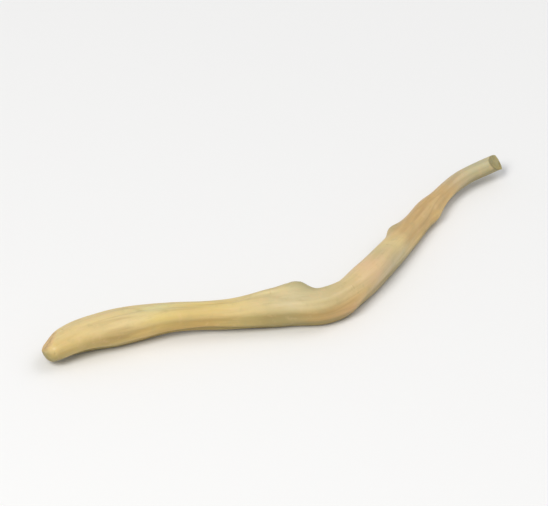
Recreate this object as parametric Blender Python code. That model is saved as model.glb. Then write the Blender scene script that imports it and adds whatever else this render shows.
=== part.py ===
"""A dried safed musli root: one peeled finger of the tuber, curved, furrowed and lying on a flat surface.

Units are metres and +Z is up. Lengths below are in millimetres where their names say so.
"Along" runs down the root from its blunt crown end to the end of its slender tail. "Angle" goes round it, in
degrees: 0 is its front side, 90 its top, 180 its back and 270 its underside.
"""

import math

import bmesh
import bpy
import numpy as np
from mathutils import Vector, noise

MM = 0.001

# The line down the middle of the root: x, y and z, from the crown end to the tail
CENTRE_LINE_MM = (
    (-36.3, -10.15, 2.75),
    (-31.3, -6.5, 2.95),
    (-26.4, -4.2, 3.00),
    (-16.8, -0.9, 3.10),
    (-7.2, 0.3, 3.10),
    (1.4, 1.9, 3.00),
    (7.2, 2.6, 2.96),
    (11.4, 6.5, 2.80),
    (14.9, 11.8, 2.60),
    (18.6, 19.1, 2.30),
    (22.4, 27.4, 1.90),
    (25.5, 33.5, 1.84),
    (29.8, 39.6, 2.55),
    (36.96, 44.34, 3.27),
)

# How broad and how tall the root is along its length: along, breadth, height
GIRTH_MM = (
    (0.0, 4.0, 3.7),
    (4.0, 5.1, 4.7),
    (8.0, 6.1, 5.8),
    (11.5, 6.5, 6.1),
    (16.0, 6.0, 5.7),
    (22.0, 5.1, 4.9),
    (29.0, 4.6, 4.5),
    (35.0, 4.9, 4.7),
    (40.5, 5.8, 5.6),
    (46.0, 6.1, 5.8),
    (52.0, 5.4, 5.2),
    (59.0, 5.0, 4.8),
    (67.0, 4.6, 4.4),
    (75.0, 4.2, 4.0),
    (81.3, 3.8, 3.5),
    (84.0, 3.1, 3.0),
    (86.0, 2.9, 2.8),
    (91.0, 2.75, 2.65),
    (99.5, 2.6, 2.5),
)
CROWN_CAP_MM = 1.5
TAIL_CAP_MM = 0.6
CAP_BLUNTNESS = 2.4
TAIL_BREAK_MM = 3.2
LINE_SAMPLES = 2000

# Both ends came off at a slant: a place on each break, the way it faces, and how far its edge is rounded
BREAKS_MM = (
    ((-35.35, -8.4, 4.05), (-0.76, 0.14, 0.64), 0.4),
    ((35.15, 43.45, 3.33), (0.80, -0.04, 0.60), 0.25),
)

# Three soft ridges run the whole length, and swing round a little past the elbow
RIDGES = 3
RIDGE_SHARE = 0.07
RIDGE_SHARPNESS = 0.3
RIDGE_ANGLE = 34.0
RIDGE_SWING = 22.0
ELBOW_MM = 47.0
SWING_LENGTH_MM = 20.0
OVAL_SHARE = 0.03
OVAL_TURN_PER_MM = 2.2

# Furrows left as the flesh dried: start, end, angle at start, angle at end, depth, half breadth
FURROWS = (
    (4.0, 35.0, 2.0, 14.0, 0.22, 0.60),
    (8.0, 41.0, 74.0, 104.0, 0.24, 0.65),
    (31.0, 58.0, 52.0, 30.0, 0.22, 0.65),
    (50.0, 81.0, -8.0, 12.0, 0.15, 0.60),
    (54.0, 88.0, 98.0, 82.0, 0.15, 0.60),
    (5.0, 50.0, 160.0, 172.0, 0.42, 0.65),
    (44.0, 83.0, 196.0, 160.0, 0.36, 0.60),
    (14.0, 43.0, 318.0, 300.0, 0.30, 0.55),
    (49.0, 76.0, 240.0, 228.0, 0.30, 0.55),
    (63.0, 96.0, 40.0, 62.0, 0.08, 0.45),
)
FURROW_FADE_SHARE = 0.3
FURROW_WANDER = 7.0
FURROW_WAVE_MM = 19.0

# Lumps and hollows: along, angle, half length, half breadth, height
LUMPS = (
    (38.5, 132.0, 4.6, 1.5, 0.65),
    (42.4, 120.0, 2.2, 1.3, 1.15),
    (71.2, 168.0, 2.0, 1.1, 0.75),
    (50.4, -22.0, 2.3, 2.0, 0.50),
    (79.6, -4.0, 1.7, 1.3, 0.32),
    (35.0, -55.0, 6.0, 2.2, 0.42),
    (24.5, 30.0, 2.6, 1.2, 0.22),
    (62.5, 75.0, 3.2, 1.3, 0.20),
    (7.6, -52.0, 4.0, 1.8, -0.50),
    (44.0, -50.0, 3.4, 2.0, -0.50),
    (52.0, 150.0, 4.0, 2.0, -0.30),
)

# Uneven swelling of the whole surface
SWELL_MM = 0.17
SWELL_WAVE_MM = 6.5
SWELL_ROUND = 0.9

ROUND_SIDES = 40
BODY_RINGS = 110
BREAK_RINGS = 9
CAP_RINGS = 5

SKIN_COLOUR = (0.60, 0.46, 0.20, 1.0)
SKIN_ROUGHNESS = 0.55


def smooth_through(stations, values, at):
    """A smooth curve through the values at these stations, read at the places asked for."""
    slopes = np.gradient(values, stations, axis=0)
    span = np.clip(np.searchsorted(stations, at) - 1, 0, len(stations) - 2)
    width = stations[span + 1] - stations[span]
    t = (at - stations[span]) / width
    if values.ndim > 1:
        t, width = t[:, None], width[:, None]
    start, end = values[span], values[span + 1]
    lean_in, lean_out = slopes[span] * width, slopes[span + 1] * width
    return (
        (2 * t**3 - 3 * t**2 + 1) * start
        + (t**3 - 2 * t**2 + t) * lean_in
        + (3 * t**2 - 2 * t**3) * end
        + (t**3 - t**2) * lean_out
    )


def smooth_step(t):
    t = np.clip(t, 0.0, 1.0)
    return t * t * (3 - 2 * t)


def centre_line():
    """Distance along the root, position and direction at closely spaced places on its middle line."""
    knots = np.array(CENTRE_LINE_MM)
    reach = np.append(0.0, np.cumsum(np.linalg.norm(np.diff(knots, axis=0), axis=1)))
    places = smooth_through(reach, knots, np.linspace(0.0, reach[-1], LINE_SAMPLES))
    steps = np.linalg.norm(np.diff(places, axis=0), axis=1)
    along = np.append(0.0, np.cumsum(steps))
    direction = np.gradient(places, along, axis=0)
    direction /= np.linalg.norm(direction, axis=1)[:, None]
    return along, places, direction


def cap_share(distance, cap_length):
    """How much of the full girth there is this far from a rounded end."""
    inward = np.clip(1 - distance / cap_length, 0.0, 1.0)
    return (1 - inward**CAP_BLUNTNESS) ** (1 / CAP_BLUNTNESS)


def turn_between(angle, other):
    """The shorter turn from one angle to the other, in radians."""
    return (angle - other + math.pi) % (2 * math.pi) - math.pi


def ridge_factor(along, angle):
    swing = RIDGE_SWING * smooth_step((along - ELBOW_MM) / SWING_LENGTH_MM + 0.5)
    ridge = math.radians(RIDGE_ANGLE) + np.radians(swing)
    oval = np.radians(OVAL_TURN_PER_MM * along)
    return (
        1
        + RIDGE_SHARE * np.cos(RIDGES * (angle - ridge))
        + RIDGE_SHARE * RIDGE_SHARPNESS * np.cos(2 * RIDGES * (angle - ridge))
        + OVAL_SHARE * np.cos(2 * (angle - oval))
    )


def furrow_depth(along, angle, radius):
    """How deep the furrows cut at this place, in millimetres."""
    depth = 0.0
    for start, end, first, last, deepest, half_breadth in FURROWS:
        share = (along - start) / (end - start)
        wander = FURROW_WANDER * math.sin(2 * math.pi * (along + start) / FURROW_WAVE_MM)
        middle = math.radians(first + (last - first) * share + wander)
        fade = smooth_step(share / FURROW_FADE_SHARE) * smooth_step((1 - share) / FURROW_FADE_SHARE)
        off = turn_between(angle, middle) * radius / half_breadth
        depth += deepest * fade * math.exp(-off * off)
    return depth


def lump_height(along, angle, radius):
    height = 0.0
    for place, middle, half_length, half_breadth, top in LUMPS:
        lengthwise = (along - place) / half_length
        sideways = turn_between(angle, math.radians(middle)) * radius / half_breadth
        height += top * math.exp(-(lengthwise**2) - sideways**2)
    return height


def broken_off(point):
    """The point, brought back to a slanted break where it lies beyond it."""
    for place, faces, edge in BREAKS_MM:
        facing = Vector(faces).normalized()
        beyond = (point - Vector(place)).dot(facing)
        if beyond < -edge:
            continue
        if beyond < edge:
            beyond = (beyond + edge) ** 2 / (4 * edge)
        point = point - facing * beyond
    return point


def swelling(along, angle):
    where = Vector((along / SWELL_WAVE_MM, SWELL_ROUND * math.cos(angle), SWELL_ROUND * math.sin(angle)))
    return SWELL_MM * noise.noise(where)


def ring_stations(length):
    """Where the rings of points lie along the root: close together in the ends and round the tail's break."""
    turn = np.linspace(0.0, math.pi / 2, CAP_RINGS + 1)[1:]
    crown = CROWN_CAP_MM * (1 - np.cos(turn))
    tail = length - TAIL_CAP_MM * (1 - np.cos(turn))[::-1]
    body = np.linspace(crown[-1], tail[0] - TAIL_BREAK_MM, BODY_RINGS + 1)[1:]
    tail_break = np.linspace(body[-1], tail[0], BREAK_RINGS + 2)[1:-1]
    return np.concatenate([crown, body, tail_break, tail])


def surface_point(along, angle, centre, direction, girth, length):
    """A point of the root's skin, in millimetres."""
    breadth, height = girth
    cap = cap_share(along, CROWN_CAP_MM) * cap_share(length - along, TAIL_CAP_MM)
    radius = (breadth + height) / 4
    grow = (
        radius * (ridge_factor(along, angle) - 1)
        + lump_height(along, angle, radius)
        + swelling(along, angle)
        - furrow_depth(along, angle, radius)
    )
    front = direction.cross(Vector((0, 0, 1))).normalized()
    top = front.cross(direction).normalized()
    across = (breadth / 2 + grow) * math.cos(angle) * cap
    upward = (height / 2 + grow) * math.sin(angle) * cap
    return broken_off(centre + front * across + top * upward)


def make_root(collection, material):
    """A sphere drawn out along the middle line, ring by ring, and pressed flat where it meets the surface."""
    along, places, direction = centre_line()
    length = along[-1]
    stations = np.concatenate([[0.0], ring_stations(length), [length]])
    table = np.array(GIRTH_MM)
    girths = smooth_through(table[:, 0], table[:, 1:], stations)
    last_ring = len(stations) - 1

    mesh = bpy.data.meshes.new("root")
    body = bmesh.new()
    bmesh.ops.create_uvsphere(body, u_segments=ROUND_SIDES, v_segments=last_ring, radius=1.0)
    for vertex in body.verts:
        ring = round(math.acos(max(-1.0, min(1.0, vertex.co.z))) / math.pi * last_ring)
        angle = math.atan2(vertex.co.y, vertex.co.x)
        station = stations[ring]
        centre = Vector([np.interp(station, along, places[:, axis]) for axis in range(3)])
        heading = Vector([np.interp(station, along, direction[:, axis]) for axis in range(3)])
        point = surface_point(station, angle, centre, heading, girths[ring], length)
        point.z = max(point.z, 0.0)
        vertex.co = point * MM

    spread = [[vertex.co[axis] for vertex in body.verts] for axis in range(2)]
    middle = [(min(side) + max(side)) / 2 for side in spread]
    bmesh.ops.translate(body, verts=body.verts, vec=(-middle[0], -middle[1], 0.0))
    body.to_mesh(mesh)
    body.free()
    mesh.shade_smooth()
    mesh.materials.append(material)
    collection.objects.link(bpy.data.objects.new("root", mesh))


def skin_material():
    material = bpy.data.materials.new("root skin")
    material.use_nodes = True
    shader = material.node_tree.nodes["Principled BSDF"]
    shader.inputs["Base Color"].default_value = SKIN_COLOUR
    shader.inputs["Roughness"].default_value = SKIN_ROUGHNESS
    shader.inputs["Metallic"].default_value = 0.0
    return material


def main():
    for old in list(bpy.data.objects):
        bpy.data.objects.remove(old)
    collection = bpy.data.collections.new("safed musli root")
    bpy.context.scene.collection.children.link(collection)
    make_root(collection, skin_material())


main()
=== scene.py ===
"""Looks of a dried safed musli root: its fine peeled surface, colours, soft studio light and camera.

Units are metres and +Z is up. A table or size whose name ends in MM is in millimetres.
"Along" runs down the root from its blunt crown end to the end of its slender tail. "Angle" goes round it, in
degrees: 0 is its front side, 90 its top, 180 its back and 270 its underside.
"""

import math

import bpy
import numpy as np
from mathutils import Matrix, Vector, noise


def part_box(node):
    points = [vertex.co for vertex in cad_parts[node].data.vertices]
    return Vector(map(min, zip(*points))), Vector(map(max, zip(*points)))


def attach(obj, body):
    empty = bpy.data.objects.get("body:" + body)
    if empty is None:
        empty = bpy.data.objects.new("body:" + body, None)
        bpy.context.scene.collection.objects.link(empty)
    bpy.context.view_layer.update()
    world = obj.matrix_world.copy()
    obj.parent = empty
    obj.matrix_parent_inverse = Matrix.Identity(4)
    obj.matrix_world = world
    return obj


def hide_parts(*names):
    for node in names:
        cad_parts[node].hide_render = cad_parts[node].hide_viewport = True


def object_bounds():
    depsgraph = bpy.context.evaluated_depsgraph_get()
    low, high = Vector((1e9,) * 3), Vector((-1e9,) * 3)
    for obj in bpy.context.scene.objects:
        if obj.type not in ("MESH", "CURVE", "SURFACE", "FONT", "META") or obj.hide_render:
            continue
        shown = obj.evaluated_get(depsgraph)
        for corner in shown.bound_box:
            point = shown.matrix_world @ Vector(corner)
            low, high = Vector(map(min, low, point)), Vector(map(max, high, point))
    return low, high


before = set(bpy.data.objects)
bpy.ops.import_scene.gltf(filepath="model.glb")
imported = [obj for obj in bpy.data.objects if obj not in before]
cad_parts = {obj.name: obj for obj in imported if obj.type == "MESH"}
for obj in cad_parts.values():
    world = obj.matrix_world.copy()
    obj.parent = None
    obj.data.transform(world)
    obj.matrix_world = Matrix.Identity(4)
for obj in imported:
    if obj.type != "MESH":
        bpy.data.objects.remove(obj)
CAD_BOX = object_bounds()
MM = 0.001

# The line down the middle of the root: x, y and z, from the crown end to the tail
CENTRE_LINE_MM = (
    (-36.3, -10.15, 2.75),
    (-31.3, -6.5, 2.95),
    (-26.4, -4.2, 3.00),
    (-16.8, -0.9, 3.10),
    (-7.2, 0.3, 3.10),
    (1.4, 1.9, 3.00),
    (7.2, 2.6, 2.96),
    (11.4, 6.5, 2.80),
    (14.9, 11.8, 2.60),
    (18.6, 19.1, 2.30),
    (22.4, 27.4, 1.90),
    (25.5, 33.5, 1.84),
    (29.8, 39.6, 2.55),
    (36.96, 44.34, 3.27),
)

# How broad and how tall the root is along its length: along, breadth, height
GIRTH_MM = (
    (0.0, 4.0, 3.7),
    (4.0, 5.1, 4.7),
    (8.0, 6.1, 5.8),
    (11.5, 6.5, 6.1),
    (16.0, 6.0, 5.7),
    (22.0, 5.1, 4.9),
    (29.0, 4.6, 4.5),
    (35.0, 4.9, 4.7),
    (40.5, 5.8, 5.6),
    (46.0, 6.1, 5.8),
    (52.0, 5.4, 5.2),
    (59.0, 5.0, 4.8),
    (67.0, 4.6, 4.4),
    (75.0, 4.2, 4.0),
    (81.3, 3.8, 3.5),
    (84.0, 3.1, 3.0),
    (86.0, 2.9, 2.8),
    (91.0, 2.75, 2.65),
    (99.5, 2.6, 2.5),
)
CROWN_CAP_MM = 1.5
TAIL_CAP_MM = 0.6
CAP_BLUNTNESS = 2.4
TAIL_BREAK_MM = 3.2
LINE_SAMPLES = 2000

# Both ends came off at a slant: a place on each break, the way it faces, and how far its edge is rounded
CROWN_BREAK_MM = ((-35.35, -8.4, 4.05), (-0.76, 0.14, 0.64), 0.4)
TAIL_CUT_MM = ((35.15, 43.45, 3.33), (0.80, -0.04, 0.60), 0.25)

# Three soft ridges run the whole length, and swing round a little past the elbow
RIDGES = 3
RIDGE_SHARE = 0.07
RIDGE_SHARPNESS = 0.3
RIDGE_ANGLE = 34.0
RIDGE_SWING = 22.0
ELBOW_MM = 47.0
SWING_LENGTH_MM = 20.0
OVAL_SHARE = 0.03
OVAL_TURN_PER_MM = 2.2

# Furrows left as the flesh dried: start, end, angle at start, angle at end, depth, half breadth
FURROWS = (
    (4.0, 35.0, 2.0, 14.0, 0.22, 0.60),
    (8.0, 41.0, 74.0, 104.0, 0.24, 0.65),
    (31.0, 58.0, 52.0, 30.0, 0.22, 0.65),
    (50.0, 81.0, -8.0, 12.0, 0.15, 0.60),
    (54.0, 88.0, 98.0, 82.0, 0.15, 0.60),
    (5.0, 50.0, 160.0, 172.0, 0.42, 0.65),
    (44.0, 83.0, 196.0, 160.0, 0.36, 0.60),
    (14.0, 43.0, 318.0, 300.0, 0.30, 0.55),
    (49.0, 76.0, 240.0, 228.0, 0.30, 0.55),
    (63.0, 96.0, 40.0, 62.0, 0.08, 0.45),
)
FURROW_FADE_SHARE = 0.3
FURROW_WANDER = 7.0
FURROW_WAVE_MM = 19.0
DEEPEST_FURROW_MM = 0.42
THICKEST_MM = 3.15

# Lumps and hollows: along, angle, half length, half breadth, height
LUMPS = (
    (38.5, 132.0, 4.6, 1.5, 0.65),
    (42.4, 120.0, 2.2, 1.3, 1.15),
    (71.2, 168.0, 2.0, 1.1, 0.75),
    (50.4, -22.0, 2.3, 2.0, 0.50),
    (79.6, -4.0, 1.7, 1.3, 0.32),
    (35.0, -55.0, 6.0, 2.2, 0.42),
    (24.5, 30.0, 2.6, 1.2, 0.22),
    (62.5, 75.0, 3.2, 1.3, 0.20),
    (7.6, -52.0, 4.0, 1.8, -0.50),
    (44.0, -50.0, 3.4, 2.0, -0.50),
    (52.0, 150.0, 4.0, 2.0, -0.30),
)

# Uneven swelling of the whole surface
SWELL_MM = 0.17
SWELL_WAVE_MM = 6.5
SWELL_ROUND = 0.9

# The side below the front ridge, painted darker partly as its own colour and partly as shade: where its edge
# is, how many degrees that takes, where it starts on the back
UNDER_EDGE = 27.0
UNDER_STEP = 34.0
UNDER_BACK = 95.0

# The underside, painted darker as shade: where its edge is before and past the elbow, where it ends on the
# back, and how many degrees each edge takes
SHADED_ANGLES = (-34.0, -12.0)
SHADED_BACK = 196.0
SHADED_STEP = 24.0

ROUND_SIDES = 128
BODY_RINGS = 676
BREAK_RINGS = 30
CAP_RINGS = 20

# What drying did to the skin. Each is an input of the relief's node tree
RELIEF = {
    "Pleat height": 0.040 * MM,
    "Pleat length": 13.0 * MM,
    "Pleat breadth": 1.25 * MM,
    "Fibre height": 0.014 * MM,
    "Fibre length": 6.0 * MM,
    "Fibre breadth": 0.36 * MM,
    "Wander": 0.9 * MM,
    "Elbow place": ELBOW_MM * MM,
    "Elbow reach": 6.5 * MM,
    "Elbow crease depth": 0.10 * MM,
    "Elbow crease spacing": 1.0 * MM,
    "Scar spacing": 4.2 * MM,
    "Scar density": 7.0e4,
    "Scar half length": 0.15 * MM,
    "Scar half breadth": 0.40 * MM,
    "Scar depth": 0.07 * MM,
    "End roughness": 0.07 * MM,
    "End grain": 0.30 * MM,
}
SCAR_SEED = 11

# Lines along the skin wander once in about this length, in the relief and in the colours
WANDER_LENGTH = 11.0 * MM

# Pleats are fainter in patches: size of a patch, where it begins and is full, least share, and what is added
PLEAT_PATCH = 9.0 * MM
PLEAT_PATCH_EDGES = (0.35, 0.7)
PLEAT_LEAST = 0.25
PLEAT_ADDED = 1.5
CREASE_EDGES = (0.0, 0.35)

# Cross creases: how far in from the middle line they are full, how long each is in spacings, and their edges
INNER_SIDE = 2.0 * MM
CROSS_CREASE_LENGTH = 3.0
CROSS_CREASE_EDGES = (0.5, 0.72)

# Scars: size and amount of their raggedness, which spots show one, and how far a strong one opens
SCAR_GRAIN = 0.25 * MM
SCAR_RAGGED = (1.6, 1.6, 1.6)
SCAR_CHANCES = (0.35, 1.0)
SCAR_NARROWNESS = 1.6
SCAR_OPENING = 0.6
LIP_PLACE = 1.7
LIP_NARROWNESS = 1.8
LIP_HEIGHT = 0.45

# Takes a random colour's middle to nothing, so that it pushes both ways
NO_MIDDLE = (-0.5, -0.5, -0.5)


def smooth_through(stations, values, at):
    """A smooth curve through the values at these stations, read at the places asked for."""
    slopes = np.gradient(values, stations, axis=0)
    span = np.clip(np.searchsorted(stations, at) - 1, 0, len(stations) - 2)
    width = stations[span + 1] - stations[span]
    t = (at - stations[span]) / width
    if values.ndim > 1:
        t, width = t[:, None], width[:, None]
    start, end = values[span], values[span + 1]
    lean_in, lean_out = slopes[span] * width, slopes[span + 1] * width
    return (
        (2 * t**3 - 3 * t**2 + 1) * start
        + (t**3 - 2 * t**2 + t) * lean_in
        + (3 * t**2 - 2 * t**3) * end
        + (t**3 - t**2) * lean_out
    )


def smooth_step(t):
    """0 below 0, 1 above 1 and smooth between them."""
    t = np.clip(t, 0.0, 1.0)
    return t * t * (3 - 2 * t)


def centre_line():
    """Distance along the root, position and direction at closely spaced places on its middle line."""
    knots = np.array(CENTRE_LINE_MM)
    reach = np.append(0.0, np.cumsum(np.linalg.norm(np.diff(knots, axis=0), axis=1)))
    places = smooth_through(reach, knots, np.linspace(0.0, reach[-1], LINE_SAMPLES))
    steps = np.linalg.norm(np.diff(places, axis=0), axis=1)
    along = np.append(0.0, np.cumsum(steps))
    direction = np.gradient(places, along, axis=0)
    direction /= np.linalg.norm(direction, axis=1)[:, None]
    return along, places, direction


def cap_share(distance, cap_length):
    """How much of the full girth there is this far from a rounded end."""
    inward = np.clip(1 - distance / cap_length, 0.0, 1.0)
    return (1 - inward**CAP_BLUNTNESS) ** (1 / CAP_BLUNTNESS)


def turn_between(angle, other):
    """The shorter turn from one angle to the other, in radians."""
    return (angle - other + math.pi) % (2 * math.pi) - math.pi


def past_elbow(along):
    """0 on the crown's side of the elbow and 1 on the tail's side, with a smooth change between."""
    return smooth_step((along - ELBOW_MM) / SWING_LENGTH_MM + 0.5)


def ridge_angle(along):
    """Where the front ridge runs, in radians."""
    return np.radians(RIDGE_ANGLE + RIDGE_SWING * past_elbow(along))


def ridge_wave(along, angle):
    """Above 1 on the crest of a ridge and below 0 in the broad face between two."""
    off = RIDGES * (angle - ridge_angle(along))
    return np.cos(off) + RIDGE_SHARPNESS * np.cos(2 * off)


def under_share(angle):
    """0 on the side that faces up and 1 on the side below the front ridge, with a short step between."""
    off = np.degrees(turn_between(angle, math.radians(UNDER_EDGE)))
    below_ridge = smooth_step(0.5 - off / UNDER_STEP)
    back = smooth_step((off - UNDER_BACK) / (180.0 - UNDER_BACK))
    return np.maximum(below_ridge, back)


def shaded_share(along, angle):
    """1 on the underside, where olive is painted on as shade, and 0 on the rest."""
    edge = SHADED_ANGLES[0] + (SHADED_ANGLES[1] - SHADED_ANGLES[0]) * past_elbow(along)
    middle = (edge + SHADED_BACK - 360.0) / 2
    half = edge - middle
    off = np.abs(np.degrees(turn_between(angle, np.radians(middle))))
    return smooth_step((half - off) / SHADED_STEP + 0.5)


def oval_wave(along, angle):
    """1 and -1 on the broad and narrow sides of the slightly oval girth, which turns along the root."""
    return np.cos(2 * (angle - np.radians(OVAL_TURN_PER_MM * along)))


def furrow_depth(along, angle, radius):
    """How deep the furrows cut at each place, in millimetres."""
    depth = np.zeros_like(along)
    for start, end, first, last, deepest, half_breadth in FURROWS:
        share = (along - start) / (end - start)
        wander = FURROW_WANDER * np.sin(2 * math.pi * (along + start) / FURROW_WAVE_MM)
        middle = np.radians(first + (last - first) * share + wander)
        fade = smooth_step(share / FURROW_FADE_SHARE) * smooth_step((1 - share) / FURROW_FADE_SHARE)
        off = turn_between(angle, middle) * radius / half_breadth
        depth += deepest * fade * np.exp(-off * off)
    return depth


def lump_height(along, angle, radius):
    """How high the lumps stand at each place, in millimetres, and below 0 in the hollows."""
    height = np.zeros_like(along)
    for place, middle, half_length, half_breadth, top in LUMPS:
        lengthwise = (along - place) / half_length
        sideways = turn_between(angle, math.radians(middle)) * radius / half_breadth
        height += top * np.exp(-(lengthwise**2) - sideways**2)
    return height


def swelling(along, angle):
    """The uneven swelling at each place, in millimetres."""
    around = (SWELL_ROUND * np.cos(angle), SWELL_ROUND * np.sin(angle))
    places = np.stack([along / SWELL_WAVE_MM, *around], axis=1)
    return SWELL_MM * np.array([noise.noise(Vector(place)) for place in places])


def broken_off(points, place, faces, edge):
    """The points, with those beyond a slanted break brought back to it, and how much of each is break."""
    facing = np.array(faces) / np.linalg.norm(faces)
    beyond = (points - place) @ facing
    rounded = (beyond + edge) ** 2 / (4 * edge)
    back = np.where(beyond < edge, rounded, beyond)
    back = np.where(beyond < -edge, 0.0, back)
    return points - back[:, None] * facing, smooth_step(0.5 + beyond / (2 * edge))


def ring_stations(length):
    """Where the rings of points lie along the root: close together in the ends and round the tail's cut."""
    turn = np.linspace(0.0, math.pi / 2, CAP_RINGS + 1)
    crown = CROWN_CAP_MM * (1 - np.cos(turn))
    tail = length - TAIL_CAP_MM * (1 - np.cos(turn))[::-1]
    body = np.linspace(crown[-1], tail[0] - TAIL_BREAK_MM, BODY_RINGS + 1)[1:]
    tail_cut = np.linspace(body[-1], tail[0], BREAK_RINGS + 2)[1:-1]
    return np.concatenate([crown, body, tail_cut, tail])


def skin_points(along, angle):
    """Points of the skin in millimetres, and what the relief and the material read at each."""
    line_along, places, direction = centre_line()
    centre = np.stack([np.interp(along, line_along, places[:, axis]) for axis in range(3)], axis=1)
    heading = np.stack([np.interp(along, line_along, direction[:, axis]) for axis in range(3)], axis=1)
    table = np.array(GIRTH_MM)
    breadth, height = smooth_through(table[:, 0], table[:, 1:], along).T
    radius = (breadth + height) / 4
    ridge = ridge_wave(along, angle)
    furrow = furrow_depth(along, angle, radius)
    grow = (
        radius * (RIDGE_SHARE * ridge + OVAL_SHARE * oval_wave(along, angle))
        + lump_height(along, angle, radius)
        + swelling(along, angle)
        - furrow
    )
    cap = cap_share(along, CROWN_CAP_MM) * cap_share(line_along[-1] - along, TAIL_CAP_MM)
    front = np.cross(heading, (0.0, 0.0, 1.0))
    front /= np.linalg.norm(front, axis=1)[:, None]
    top = np.cross(front, heading)
    across = (breadth / 2 + grow) * np.cos(angle) * cap
    upward = (height / 2 + grow) * np.sin(angle) * cap
    points = centre + front * across[:, None] + top * upward[:, None]
    points, broken = broken_off(points, *CROWN_BREAK_MM)
    points, cut = broken_off(points, *TAIL_CUT_MM)
    points[:, 2] = np.maximum(points[:, 2], 0.0)
    straight = np.stack([along, radius * cap * np.cos(angle), radius * cap * np.sin(angle)], axis=1) * MM
    reads = {
        "straight": straight,
        "furrow": furrow / DEEPEST_FURROW_MM,
        "ridge": (1 + ridge) / 2,
        "broken": broken,
        "cut": cut,
        "under": under_share(angle),
        "shaded": shaded_share(along, angle),
        "girth": radius * cap / THICKEST_MM,
        "end": (1 - cap) * (1 - cut),
    }
    return points, reads


def store(mesh, name, values):
    """Keeps a number or a vector at each point of the mesh, under this name."""
    if values.ndim > 1:
        mesh.attributes.new(name, "FLOAT_VECTOR", "POINT").data.foreach_set("vector", values.ravel())
    else:
        mesh.attributes.new(name, "FLOAT", "POINT").data.foreach_set("value", values)


def ring_faces(rings):
    """Faces that join rings of points, with a fan to a single point at each end, all facing outwards."""
    around = np.arange(ROUND_SIDES)
    onward = (around + 1) % ROUND_SIDES
    first = 1 + ROUND_SIDES * np.arange(rings - 1)[:, None]
    following = first + ROUND_SIDES
    bands = np.stack([first + around, following + around, following + onward, first + onward], axis=2)
    last_ring = 1 + ROUND_SIDES * (rings - 1)
    tip = last_ring + ROUND_SIDES
    sides = list(zip(around.tolist(), onward.tolist()))
    crown_fan = [(0, 1 + a, 1 + b) for a, b in sides]
    tail_fan = [(tip, last_ring + b, last_ring + a) for a, b in sides]
    return crown_fan + bands.reshape(-1, 4).tolist() + tail_fan


def smooth_root():
    """The root before its fine relief: rings of points down the middle line, closed at both ends."""
    stations = ring_stations(centre_line()[0][-1])
    rings = len(stations) - 2
    turns = np.arange(ROUND_SIDES) * 2 * math.pi / ROUND_SIDES
    along = np.concatenate([stations[:1], np.repeat(stations[1:-1], ROUND_SIDES), stations[-1:]])
    angle = np.concatenate([[0.0], np.tile(turns, rings), [0.0]])
    points, reads = skin_points(along, angle)
    low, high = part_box("root")
    shift = (np.array(low) + np.array(high)) / 2 - MM * (points.min(axis=0) + points.max(axis=0)) / 2
    shift[2] = 0.0
    mesh = bpy.data.meshes.new("root")
    mesh.from_pydata((points * MM + shift).tolist(), [], ring_faces(rings))
    for name, values in reads.items():
        store(mesh, name, values)
    mesh.shade_smooth()
    return bpy.data.objects.new("dried_root", mesh)


class Wire:
    """A socket of a node tree. Arithmetic on wires adds Math nodes, and make adds any other node."""

    def __init__(self, tree, socket=None):
        self.tree = tree
        self.socket = socket

    def make(self, kind, settings=(), values=(), out=0):
        """Adds a node, sets its settings and then its sockets, and gives the wire of one of its outputs."""
        node = self.tree.nodes.new(kind)
        for name, setting in dict(settings).items():
            if name == "stops":
                self.set_stops(node.color_ramp, setting)
            else:
                setattr(node, name, setting)
        for name, value in dict(values).items():
            if isinstance(value, Wire):
                self.tree.links.new(value.socket, node.inputs[name])
            else:
                node.inputs[name].default_value = value
        return Wire(self.tree, node.outputs[out]) if node.outputs else None

    @staticmethod
    def set_stops(ramp, stops):
        """Gives a colour ramp these stops: place, colour."""
        while len(ramp.elements) < len(stops):
            ramp.elements.new(1.0)
        for element, (place, colour) in zip(ramp.elements, stops):
            element.position = place
            element.color = colour

    def other(self, name):
        """Another output of the same node."""
        return Wire(self.tree, self.socket.node.outputs[name])

    def math(self, operation, *values):
        return self.make("ShaderNodeMath", {"operation": operation}, enumerate(values))

    def __add__(self, other):
        return self.math("ADD", self, other)

    def __radd__(self, other):
        return self.math("ADD", other, self)

    def __sub__(self, other):
        return self.math("SUBTRACT", self, other)

    def __rsub__(self, other):
        return self.math("SUBTRACT", other, self)

    def __mul__(self, other):
        return self.math("MULTIPLY", self, other)

    def __rmul__(self, other):
        return self.math("MULTIPLY", other, self)

    def __truediv__(self, other):
        return self.math("DIVIDE", self, other)

    def __rtruediv__(self, other):
        return self.math("DIVIDE", other, self)

    def __abs__(self):
        return self.math("ABSOLUTE", self)


def bell(x):
    """1 where x is 0, and falling smoothly to nothing past about 2."""
    return x.math("EXPONENT", x * x * -1.0)


def rise(x, low, high):
    """0 at low, 1 at high and smooth between them. It falls as x grows where low is the larger."""
    ends = {"Value": x, "From Min": low, "From Max": high}
    return x.make("ShaderNodeMapRange", {"interpolation_type": "SMOOTHSTEP"}, ends)


def stretched(vector, by):
    """The vector with each of its parts multiplied by its own number."""
    return vector.make("ShaderNodeVectorMath", {"operation": "MULTIPLY"}, {0: vector, 1: by})


def moved(vector, by):
    """The sum of two vectors."""
    return vector.make("ShaderNodeVectorMath", {"operation": "ADD"}, {0: vector, 1: by})


def scaled(vector, factor):
    """The vector multiplied by one number."""
    return vector.make("ShaderNodeVectorMath", {"operation": "SCALE"}, {"Vector": vector, "Scale": factor})


def length_of(vector):
    """The length of the vector."""
    return vector.make("ShaderNodeVectorMath", {"operation": "LENGTH"}, {0: vector}, out="Value")


def parts_of(vector):
    """The x, y and z of the vector."""
    split = vector.make("ShaderNodeSeparateXYZ", (), {"Vector": vector})
    return split, split.other("Y"), split.other("Z")


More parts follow.
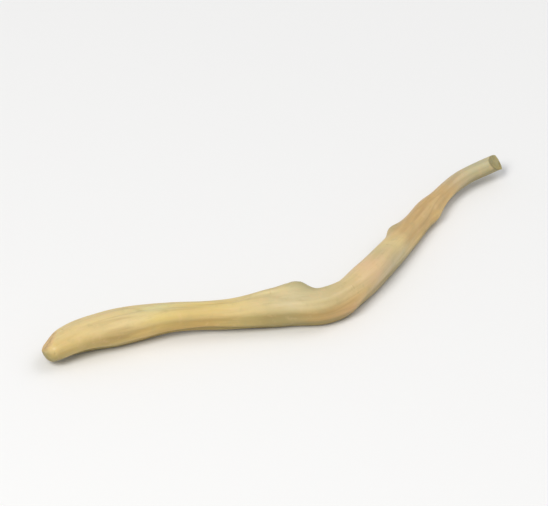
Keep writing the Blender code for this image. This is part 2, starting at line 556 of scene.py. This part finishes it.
def joined(wire, x, y, z):
    """The vector of these three numbers, in the same tree as the wire."""
    return wire.make("ShaderNodeCombineXYZ", (), {"X": x, "Y": y, "Z": z})


def cloud(vector, scale=1.0, detail=2.0, roughness=0.5):
    """A soft random pattern from 0 to 1."""
    settings = {"Vector": vector, "Scale": scale, "Detail": detail, "Roughness": roughness}
    return vector.make("ShaderNodeTexNoise", (), settings)


def drawn_out(straight, length, breadth):
    """The straightened place, counted in lengths along the root and in breadths across it."""
    x, y, z = parts_of(straight)
    return joined(straight, x / length, y / breadth, z / breadth)


def wandered(straight, amount):
    """The straightened place, pushed from side to side so that lines on it wander."""
    push = cloud(scaled(straight, 1 / WANDER_LENGTH), detail=1.0).other("Color")
    return moved(straight, stretched(moved(push, NO_MIDDLE), joined(straight, 0.0, amount, amount)))


def named(start, name, kind="FLOAT"):
    """What the mesh keeps under this name, for the relief."""
    return start.make("GeometryNodeInputNamedAttribute", {"data_type": kind}, {"Name": name})


def scar_slit_and_lip(given, straight):
    """How deep in the slit of a scar each place is, and how high on its lip."""
    spots = given.make(
        "GeometryNodeDistributePointsOnFaces",
        {"distribute_method": "POISSON"},
        {
            "Mesh": given.other("Geometry"),
            "Distance Min": given.other("Scar spacing"),
            "Density Max": given.other("Scar density"),
            "Seed": given.other("Seed"),
        },
    )
    nearest = given.make("GeometryNodeSampleNearest", (), {"Geometry": spots})
    middle = given.make(
        "GeometryNodeSampleIndex",
        {"data_type": "FLOAT_VECTOR"},
        {"Geometry": spots, "Value": straight, "Index": nearest},
    )
    off = given.make("ShaderNodeVectorMath", {"operation": "SUBTRACT"}, {0: straight, 1: middle})
    off = drawn_out(off, given.other("Scar half length"), given.other("Scar half breadth"))
    grain = cloud(scaled(straight, 1 / SCAR_GRAIN)).other("Color")
    away = length_of(moved(off, stretched(moved(grain, NO_MIDDLE), SCAR_RAGGED)))
    chance = given.make("FunctionNodeRandomValue", {"data_type": "FLOAT"}, {"ID": nearest}, out=1)
    strength = rise(chance, *SCAR_CHANCES)
    slit = bell(away * (SCAR_NARROWNESS - strength * SCAR_OPENING)) * strength
    lip = bell((away - LIP_PLACE) * LIP_NARROWNESS) * strength
    return slit, lip


def relief_tree():
    """The dried skin's fine relief, raised along its normals: pleats, fibres, creases, scars, torn ends."""
    tree = bpy.data.node_groups.new("dried skin relief", "GeometryNodeTree")
    tree.interface.new_socket("Geometry", in_out="INPUT", socket_type="NodeSocketGeometry")
    tree.interface.new_socket("Geometry", in_out="OUTPUT", socket_type="NodeSocketGeometry")
    for name in RELIEF:
        tree.interface.new_socket(name, in_out="INPUT", socket_type="NodeSocketFloat")
    tree.interface.new_socket("Seed", in_out="INPUT", socket_type="NodeSocketInt")
    tree.interface.new_socket("Skin", in_out="INPUT", socket_type="NodeSocketMaterial")

    given = Wire(tree).make("NodeGroupInput")
    straight = named(given, "straight", "FLOAT_VECTOR")
    along, across, upward = parts_of(straight)
    lines = wandered(straight, given.other("Wander"))

    # Pleats: rounded backs with sharp creases between them
    folds = cloud(drawn_out(lines, given.other("Pleat length"), given.other("Pleat breadth")), detail=1.0)
    backs = abs(folds * 2.0 - 1.0) * 2.0
    patches = rise(cloud(scaled(straight, 1 / PLEAT_PATCH), detail=1.0), *PLEAT_PATCH_EDGES)
    drawn = PLEAT_LEAST + PLEAT_ADDED * patches
    crease = (1.0 - rise(backs, *CREASE_EDGES)) * drawn
    fibres = cloud(drawn_out(lines, given.other("Fibre length"), given.other("Fibre breadth")), detail=1.0)
    height = (backs - 0.5) * drawn * given.other("Pleat height")
    height = height + (fibres - 0.5) * 2.0 * given.other("Fibre height")
    height = height * named(given, "girth")

    # The flesh is squeezed into cross creases on the inner side of the elbow
    near_elbow = bell((along - given.other("Elbow place")) / given.other("Elbow reach"))
    inner = rise(across * -1.0, 0.0, INNER_SIDE) * near_elbow
    spacing = given.other("Elbow crease spacing")
    breadth = spacing * CROSS_CREASE_LENGTH
    squeezed = joined(given, along / spacing, across / breadth, upward / breadth)
    folded = rise(cloud(squeezed, detail=1.0), *CROSS_CREASE_EDGES) * inner
    height = height - folded * given.other("Elbow crease depth")

    # Scars where hair roots were, each a short slit across the root with a raised lip
    slit, lip = scar_slit_and_lip(given, straight)
    height = height + (lip * LIP_HEIGHT - slit) * given.other("Scar depth")

    # The slanted faces of the two ends are short, torn fibre
    broken = named(given, "broken")
    torn_share = broken.math("MAXIMUM", broken, named(given, "cut"))
    here = given.make("GeometryNodeInputPosition")
    torn = cloud(scaled(here, 1.0 / given.other("End grain")), detail=2.0)
    height = height * (1.0 - torn_share) + (torn - 0.5) * 2.0 * torn_share * given.other("End roughness")

    # The skin is raised, but never sinks below the surface that the root lies on
    offset = scaled(given.make("GeometryNodeInputNormal"), height)
    surface = given.other("Geometry")
    raised = given.make("GeometryNodeSetPosition", (), {"Geometry": surface, "Offset": offset})
    x, y, z = parts_of(here)
    resting = joined(given, x, y, z.math("MAXIMUM", z, 0.0))
    result = given.make("GeometryNodeSetPosition", (), {"Geometry": raised, "Position": resting})
    for name, value in (("crease", crease), ("scar", slit)):
        result = given.make(
            "GeometryNodeStoreNamedAttribute",
            {"data_type": "FLOAT", "domain": "POINT"},
            {"Geometry": result, "Name": name, "Value": value},
        )
    result = given.make("GeometryNodeRealizeInstances", (), {"Geometry": result})
    skin = given.other("Skin")
    result = given.make("GeometryNodeSetMaterial", (), {"Geometry": result, "Material": skin})
    given.make("NodeGroupOutput", (), {"Geometry": result})
    return tree


def set_inputs(modifier, values):
    """Gives the tree's inputs these values, each by its socket's identifier."""
    for item in modifier.node_group.interface.items_tree:
        if item.in_out == "INPUT" and item.name in values:
            modifier[item.identifier] = values[item.name]


def make_root():
    """The root with its fine relief and its skin, as one plain mesh that stands for the part's node."""
    root = smooth_root()
    bpy.context.scene.collection.objects.link(root)
    modifier = root.modifiers.new("dried skin relief", "NODES")
    modifier.node_group = relief_tree()
    set_inputs(modifier, {**RELIEF, "Seed": SCAR_SEED, "Skin": root_skin()})
    graph = bpy.context.evaluated_depsgraph_get()
    root_mesh = bpy.data.meshes.new_from_object(root.evaluated_get(graph))
    root.modifiers.clear()
    root.data = root_mesh
    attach(root, "root")
    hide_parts("root")


def paint(code):
    """A colour as light values, from its usual six-figure code."""
    shares = [int(code[at : at + 2], 16) / 255 for at in (0, 2, 4)]
    return (*[((share + 0.055) / 1.055) ** 2.4 for share in shares], 1.0)


STRAW = paint("DCC58C")
BRIGHT_STRAW = paint("DBC480")
DULL_STRAW = paint("C9B786")
GREY_STRAW = paint("CEBF95")
CREAM = paint("E3D29C")
PALE_GREEN = paint("D6D3A0")
YELLOW = paint("DFC774")
PEACH = paint("E0BE90")
TAN = paint("CBA972")
SOFT_TAN = paint("CEB88F")
GREY_TAN = paint("C2A87E")
NECK_TAN = paint("E6C37E")
GOLD = paint("CBAB62")
DEEP_GOLD = paint("B4A05C")
OLIVE_GOLD = paint("A08D4E")
OCHRE = paint("B8954E")
OLIVE = paint("877B48")
OLIVE_GREY = paint("A59D70")
TAIL_GREY = paint("BDB48E")
TAIL_SHADE = paint("B0A276")
FURROW_BROWN = paint("8A6936")
SCAR_BROWN = paint("80633A")
RIM_TAN = paint("D9AE7A")
CUT_OLIVE = paint("A99A58")
CUT_RIM = paint("6F6B4A")

# The main colour down the root: share of its length, colour
LENGTH_TINTS = (
    (0.00, STRAW),
    (0.14, STRAW),
    (0.26, BRIGHT_STRAW),
    (0.33, STRAW),
    (0.38, DULL_STRAW),
    (0.43, GREY_STRAW),
    (0.48, DULL_STRAW),
    (0.54, STRAW),
    (0.59, PEACH),
    (0.64, DULL_STRAW),
    (0.68, STRAW),
    (0.72, TAN),
    (0.86, TAN),
    (0.885, GREY_TAN),
    (0.94, TAIL_GREY),
    (1.00, TAIL_GREY),
)

# What the side below the ridge turns to, down the root, partly its own darker colour and partly painted
# shade: share of its length, colour
UNDER_TINTS_AND_SHADE = (
    (0.00, DEEP_GOLD),
    (0.10, DEEP_GOLD),
    (0.17, GOLD),
    (0.28, OCHRE),
    (0.33, DEEP_GOLD),
    (0.38, OLIVE_GOLD),
    (0.43, OLIVE_GOLD),
    (0.48, OCHRE),
    (0.53, NECK_TAN),
    (0.60, SOFT_TAN),
    (0.68, GREY_STRAW),
    (0.75, NECK_TAN),
    (0.86, NECK_TAN),
    (0.90, SOFT_TAN),
    (0.94, TAIL_SHADE),
    (1.00, TAIL_SHADE),
)
UNDER_TINT_AND_SHADE_STRENGTH = 0.8

# The length that the tints' shares are of, and how far patches push a tint up or down it, as a share
TINT_LENGTH = 97.8 * MM
TINT_PUSH = 0.06

# Stains, with one painted highlight and one painted shade among them: along, angle, half length, half
# breadth in millimetres and degrees, colour, strength
STAINS = (
    (19.5, 88.0, 4.2, 1.2, PALE_GREEN, 0.65),
    (20.5, 34.0, 3.4, 0.9, YELLOW, 0.6),
    (10.5, 8.0, 4.5, 1.3, OCHRE, 0.55),
    (2.5, 34.0, 4.5, 1.8, GOLD, 0.6),
    (23.0, 16.0, 3.5, 0.9, OLIVE_GOLD, 0.35),
    (27.5, 45.0, 7.0, 1.2, GOLD, 0.6),
    (30.0, 82.0, 3.0, 1.0, YELLOW, 0.4),
    (43.0, 115.0, 2.6, 1.4, OLIVE_GREY, 0.75),
    # Painted highlight: a thin cream line along the ledge in front of the hump
    (37.5, 108.0, 3.6, 0.6, CREAM, 0.8),
    (71.2, 150.0, 2.4, 1.2, OLIVE_GREY, 0.65),
    (49.5, -12.0, 3.5, 1.6, RIM_TAN, 0.6),
    (57.0, 58.0, 6.0, 1.1, PEACH, 0.7),
    # Painted shade: the crown's lower corner darkened to olive
    (0.6, -35.0, 1.6, 1.3, OLIVE, 0.65),
    (95.8, -6.0, 1.3, 0.7, OLIVE, 0.5),
)

# Sizes of the skin's patterns: length and breadth of those that run along the root, one size for the rest
SKIN_WANDER = 0.8 * MM
STREAK_SIZE = (22.0 * MM, 0.9 * MM)
HAIR_SIZE = (5.0 * MM, 0.14 * MM)
PATCH_SIZE = 7.0 * MM
MOTTLE_SIZE = 1.6 * MM
MOTTLE_ROUGHNESS = 0.6
GRAIN_SIZE = 0.22 * MM

# Flecks on the faces of the ends: where the mottle begins to show as a fleck, and where it is full
BROKEN_FLECK_EDGES = (0.45, 0.7)
CUT_FLECK_EDGES = (0.4, 0.7)

# What is painted over the main colour, in this order: pattern, where it begins and is full, strength, colour
GLAZES = (
    ("streaks", (0.5, 0.8), 0.13, OCHRE),
    ("streaks", (0.5, 0.22), 0.22, CREAM),
    ("mottle", (0.52, 0.75), 0.3, PEACH),
    ("mottle", (0.48, 0.25), 0.22, OLIVE_GREY),
    # Partly wear and partly painted highlight: the crests of the ridges turn cream
    ("ridge", (0.6, 1.0), 0.12, CREAM),
    ("furrow", (0.15, 0.9), 0.16, OCHRE),
    ("crease", None, 0.12, FURROW_BROWN),
    ("hairs", (0.55, 0.8), 0.15, FURROW_BROWN),
    ("scar", (0.2, 0.8), 0.22, SCAR_BROWN),
    # Painted shade: the underside turns olive
    ("shaded", None, 0.6, OLIVE),
    ("broken", None, 0.6, RIM_TAN),
    ("broken flecks", None, 0.45, SCAR_BROWN),
    ("end", (0.15, 0.7), 0.4, OLIVE),
    ("cut", None, 0.6, CUT_OLIVE),
    ("cut flecks", None, 0.4, CUT_RIM),
    ("cut edge", None, 2.4, CUT_RIM),
)

# The skin's own roughness, and what patches, furrows, torn ends and the crests of the ridges do to it
SKIN_ROUGHNESS = 0.48
PATCH_ROUGHENS = 0.2
FURROW_ROUGHENS = 0.12
TORN_ROUGHENS = 0.25
CREST_EDGES = (0.5, 1.0)
CREST_SMOOTHS = 0.1

# What the fine bump is made of
HAIR_BUMP = 0.6
STREAK_BUMP = 0.3
GRAIN_BUMP = 0.25
BUMP_STRENGTH = 0.5
BUMP_DEPTH = 0.06 * MM


def mixed(factor, first, second):
    """The first colour turned towards the second by the factor."""
    return factor.make("ShaderNodeMix", {"data_type": "RGBA"}, {0: factor, 6: first, 7: second}, out=2)


def stored(start, name, out="Fac"):
    """What the mesh keeps under this name, for the material."""
    return start.make("ShaderNodeAttribute", {"attribute_name": name}, out=out)


def stain_place(straight, along, angle, half_length, half_breadth):
    """1 in the middle of a stain and 0 well away from it."""
    stations = [row[0] for row in GIRTH_MM]
    radius = np.interp(along, stations, [(row[1] + row[2]) / 4 for row in GIRTH_MM])
    middle = (along, radius * math.cos(math.radians(angle)), radius * math.sin(math.radians(angle)))
    off = moved(straight, tuple(-MM * part for part in middle))
    return bell(length_of(drawn_out(off, half_length * MM, half_breadth * MM)))


def root_skin():
    """Peeled, dried flesh: straw and peach with fine fibres, brown in the creases, pale on the ridges partly
    from wear and partly as painted highlight, and painted shade below.
    """
    material = bpy.data.materials.new("peeled dried root")
    material.use_nodes = True
    material.node_tree.nodes.clear()
    start = Wire(material.node_tree)
    straight = stored(start, "straight", "Vector")
    here = start.make("ShaderNodeTexCoord", out="Object")
    kept = ("ridge", "furrow", "crease", "scar", "shaded", "broken", "cut", "end")
    patterns = {name: stored(start, name) for name in kept}
    ridge, furrow, broken, cut = (patterns[name] for name in ("ridge", "furrow", "broken", "cut"))

    patches = cloud(scaled(here, 1 / PATCH_SIZE), detail=3.0)
    place = parts_of(straight)[0] / TINT_LENGTH + (patches - 0.5) * TINT_PUSH
    colour = start.make("ShaderNodeValToRGB", {"stops": LENGTH_TINTS}, {"Fac": place})
    below = start.make("ShaderNodeValToRGB", {"stops": UNDER_TINTS_AND_SHADE}, {"Fac": place})
    # Partly its own darker gold and partly painted shade: the side below the ridge turns to its under tints
    colour = mixed(stored(start, "under") * UNDER_TINT_AND_SHADE_STRENGTH, colour, below)
    for *spot, stain, strength in STAINS:
        colour = mixed(stain_place(straight, *spot) * strength, colour, stain)

    lines = wandered(straight, SKIN_WANDER)
    streaks = cloud(drawn_out(lines, *STREAK_SIZE), detail=3.0)
    hairs = cloud(drawn_out(lines, *HAIR_SIZE), detail=2.0)
    mottle = cloud(scaled(here, 1 / MOTTLE_SIZE), detail=3.0, roughness=MOTTLE_ROUGHNESS)
    patterns.update(
        {
            "streaks": streaks,
            "hairs": hairs,
            "mottle": mottle,
            "broken flecks": broken * rise(mottle, *BROKEN_FLECK_EDGES),
            "cut flecks": cut * rise(mottle, *CUT_FLECK_EDGES),
            "cut edge": cut * (1.0 - cut),
        }
    )
    for name, edges, strength, glaze in GLAZES:
        amount = rise(patterns[name], *edges) if edges else patterns[name]
        colour = mixed(amount * strength, colour, glaze)

    torn = broken.math("MAXIMUM", broken, cut)
    roughness = SKIN_ROUGHNESS + (patches - 0.5) * PATCH_ROUGHENS
    roughness = roughness + furrow * FURROW_ROUGHENS + torn * TORN_ROUGHENS
    roughness = roughness - rise(ridge, *CREST_EDGES) * CREST_SMOOTHS
    grain = cloud(scaled(here, 1 / GRAIN_SIZE), detail=2.0)
    relief = hairs * HAIR_BUMP + streaks * STREAK_BUMP + grain * GRAIN_BUMP
    depth = {"Strength": BUMP_STRENGTH, "Distance": BUMP_DEPTH}
    shader = start.make(
        "ShaderNodeBsdfPrincipled",
        (),
        {
            "Base Color": colour,
            "Roughness": roughness,
            "Normal": start.make("ShaderNodeBump", (), {**depth, "Height": relief}),
            "IOR": 1.5,
            "Subsurface Weight": 0.3,
            "Subsurface Radius": (1.0, 0.62, 0.28),
            "Subsurface Scale": 1.2 * MM,
        },
    )
    start.make("ShaderNodeOutputMaterial", (), {"Surface": shader})
    return material


FLOOR_COLOUR = (0.88, 0.875, 0.865, 1.0)
FLOOR_ROUGHNESS = 0.7
FLOOR_SIZE = 4.0


def make_floor():
    """A plain, pale floor under the root."""
    half = FLOOR_SIZE / 2
    mesh = bpy.data.meshes.new("floor")
    corners = [(-half, -half, 0.0), (half, -half, 0.0), (half, half, 0.0), (-half, half, 0.0)]
    mesh.from_pydata(corners, [], [(0, 1, 2, 3)])
    material = bpy.data.materials.new("pale floor")
    material.use_nodes = True
    shader = material.node_tree.nodes["Principled BSDF"]
    shader.inputs["Base Color"].default_value = FLOOR_COLOUR
    shader.inputs["Roughness"].default_value = FLOOR_ROUGHNESS
    mesh.materials.append(material)
    floor = bpy.data.objects.new("floor", mesh)
    bpy.context.scene.collection.objects.link(floor)


# Lights: name, place, width, power in watts, colour
LIGHTS = (
    ("key", (-0.36, -0.55, 0.70), 0.50, 6.0, (1.0, 0.99, 0.97)),
    ("fill", (0.50, 0.20, 0.75), 0.70, 1.8, (0.97, 0.98, 1.0)),
)
WORLD_COLOUR = (0.92, 0.93, 0.95, 1.0)
WORLD_STRENGTH = 0.50


def make_lights(target):
    """Two soft round lights that face the root, and a pale, even light from all round."""
    for name, place, width, power, colour in LIGHTS:
        light = bpy.data.lights.new(name, "AREA")
        light.shape = "DISK"
        light.size = width
        light.energy = power
        light.color = colour
        lamp = bpy.data.objects.new(name, light)
        lamp.location = place
        lamp.rotation_euler = (Vector(place) - target).to_track_quat("Z", "Y").to_euler()
        bpy.context.scene.collection.objects.link(lamp)
    world = bpy.data.worlds.new("pale studio")
    world.use_nodes = True
    background = world.node_tree.nodes["Background"]
    background.inputs["Color"].default_value = WORLD_COLOUR
    background.inputs["Strength"].default_value = WORLD_STRENGTH
    bpy.context.scene.world = world


# The photograph looks down on the table at this angle, in degrees
ELEVATION = 34.0
DISTANCE = 2.4
SENSOR_MM = 36.0
FRAME_SHARE = 0.84
NEAREST, FARTHEST = 0.01, 10.0


def make_camera(target):
    """A long lens from the photograph's height, with the root across most of the picture's width."""
    low, high = CAD_BOX
    camera = bpy.data.objects.new("camera", bpy.data.cameras.new("camera"))
    camera.data.sensor_width = SENSOR_MM
    camera.data.lens = SENSOR_MM * DISTANCE * FRAME_SHARE / (high.x - low.x)
    camera.data.clip_start = NEAREST
    camera.data.clip_end = FARTHEST
    elevation = math.radians(ELEVATION)
    back = Vector((0.0, -math.cos(elevation), math.sin(elevation)))
    camera.location = target + back * DISTANCE
    camera.rotation_euler = back.to_track_quat("Z", "Y").to_euler()
    bpy.context.scene.collection.objects.link(camera)
    bpy.context.scene.camera = camera


# Plain colours, as in the photograph
bpy.context.scene.view_settings.view_transform = "Standard"
make_root()
make_floor()
middle_of_root = (CAD_BOX[0] + CAD_BOX[1]) / 2
make_lights(middle_of_root)
make_camera(middle_of_root)
